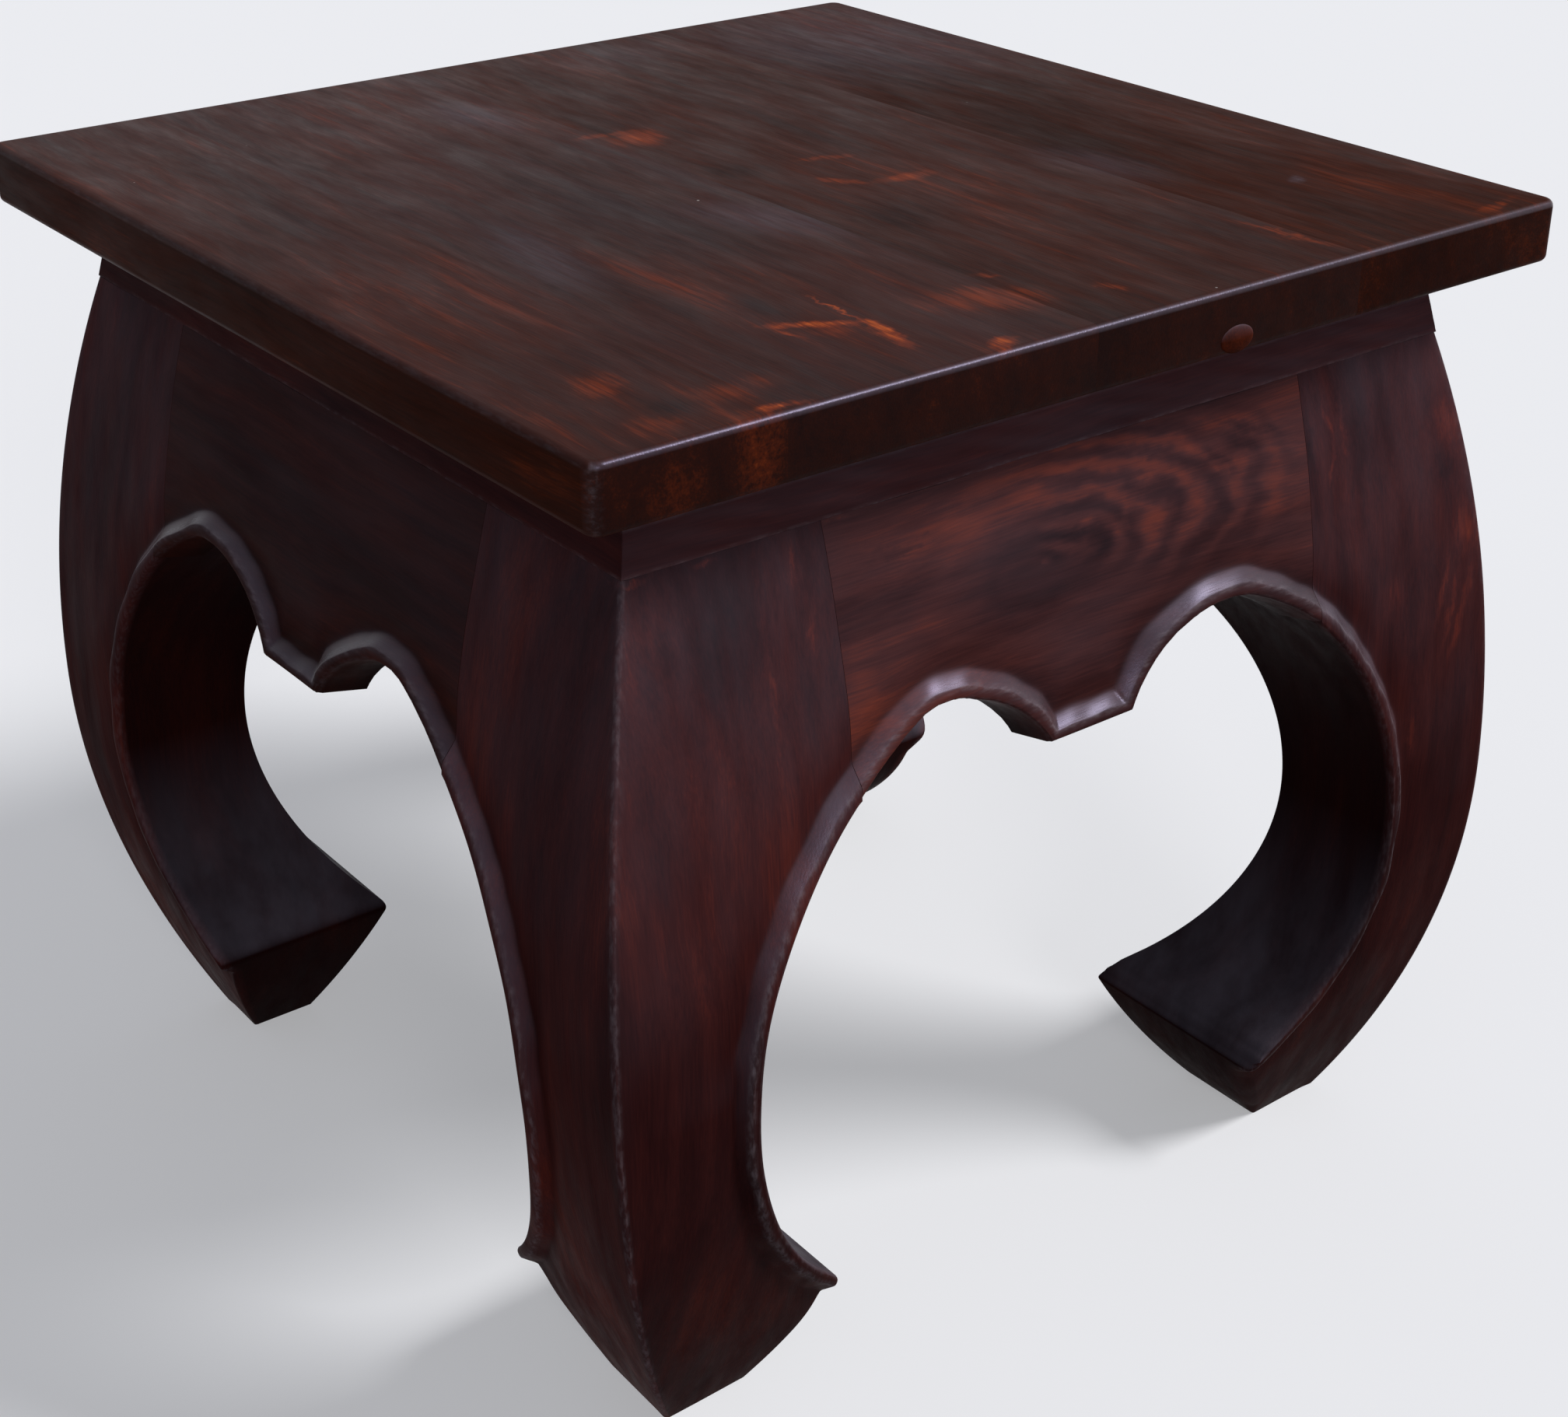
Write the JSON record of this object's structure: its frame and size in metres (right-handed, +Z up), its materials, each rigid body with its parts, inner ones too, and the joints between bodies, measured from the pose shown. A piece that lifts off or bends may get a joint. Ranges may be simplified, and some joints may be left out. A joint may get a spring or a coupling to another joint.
{
  "type": "opium table",
  "caption": "Low square opium table of dark stained hardwood with heavy C-shaped legs, beaded arched aprons, a coved collar and a flat board top",
  "frame": {"origin": "On the floor, under the centre of the top", "axes": "+Z up; the front (-Y) is the side with the plug in the edge of the top; the boards of the top run along Y"},
  "size_m": [0.405, 0.405, 0.374],
  "materials": {
    "leg_wood": "stained and lacquered, satin",
    "apron_wood": "stained and lacquered, satin",
    "collar_wood": "stained and lacquered, satin",
    "top_wood": "stained and lacquered, satin",
    "plug_wood": "end grain, lacquered",
    "dowel_wood": "raw",
    "screw_steel": "zinc plated"
  },
  "bodies": {
    "root": {"leg_front_left": "leg_wood", "leg_front_right": "leg_wood", "leg_back_right": "leg_wood", "leg_back_left": "leg_wood", "apron_front": "apron_wood", "apron_right": "apron_wood", "apron_back": "apron_wood", "apron_left": "apron_wood", "collar_rail_front": "collar_wood", "collar_rail_right": "collar_wood", "collar_rail_back": "collar_wood", "collar_rail_left": "collar_wood", "top_board_1": "top_wood", "top_board_2": "top_wood", "top_board_3": "top_wood", "top_board_4": "top_wood", "edge_plug": "plug_wood", "apron_dowels": "dowel_wood", "collar_dowels": "dowel_wood", "top_screws": "screw_steel"}
  },
  "joints": []
}
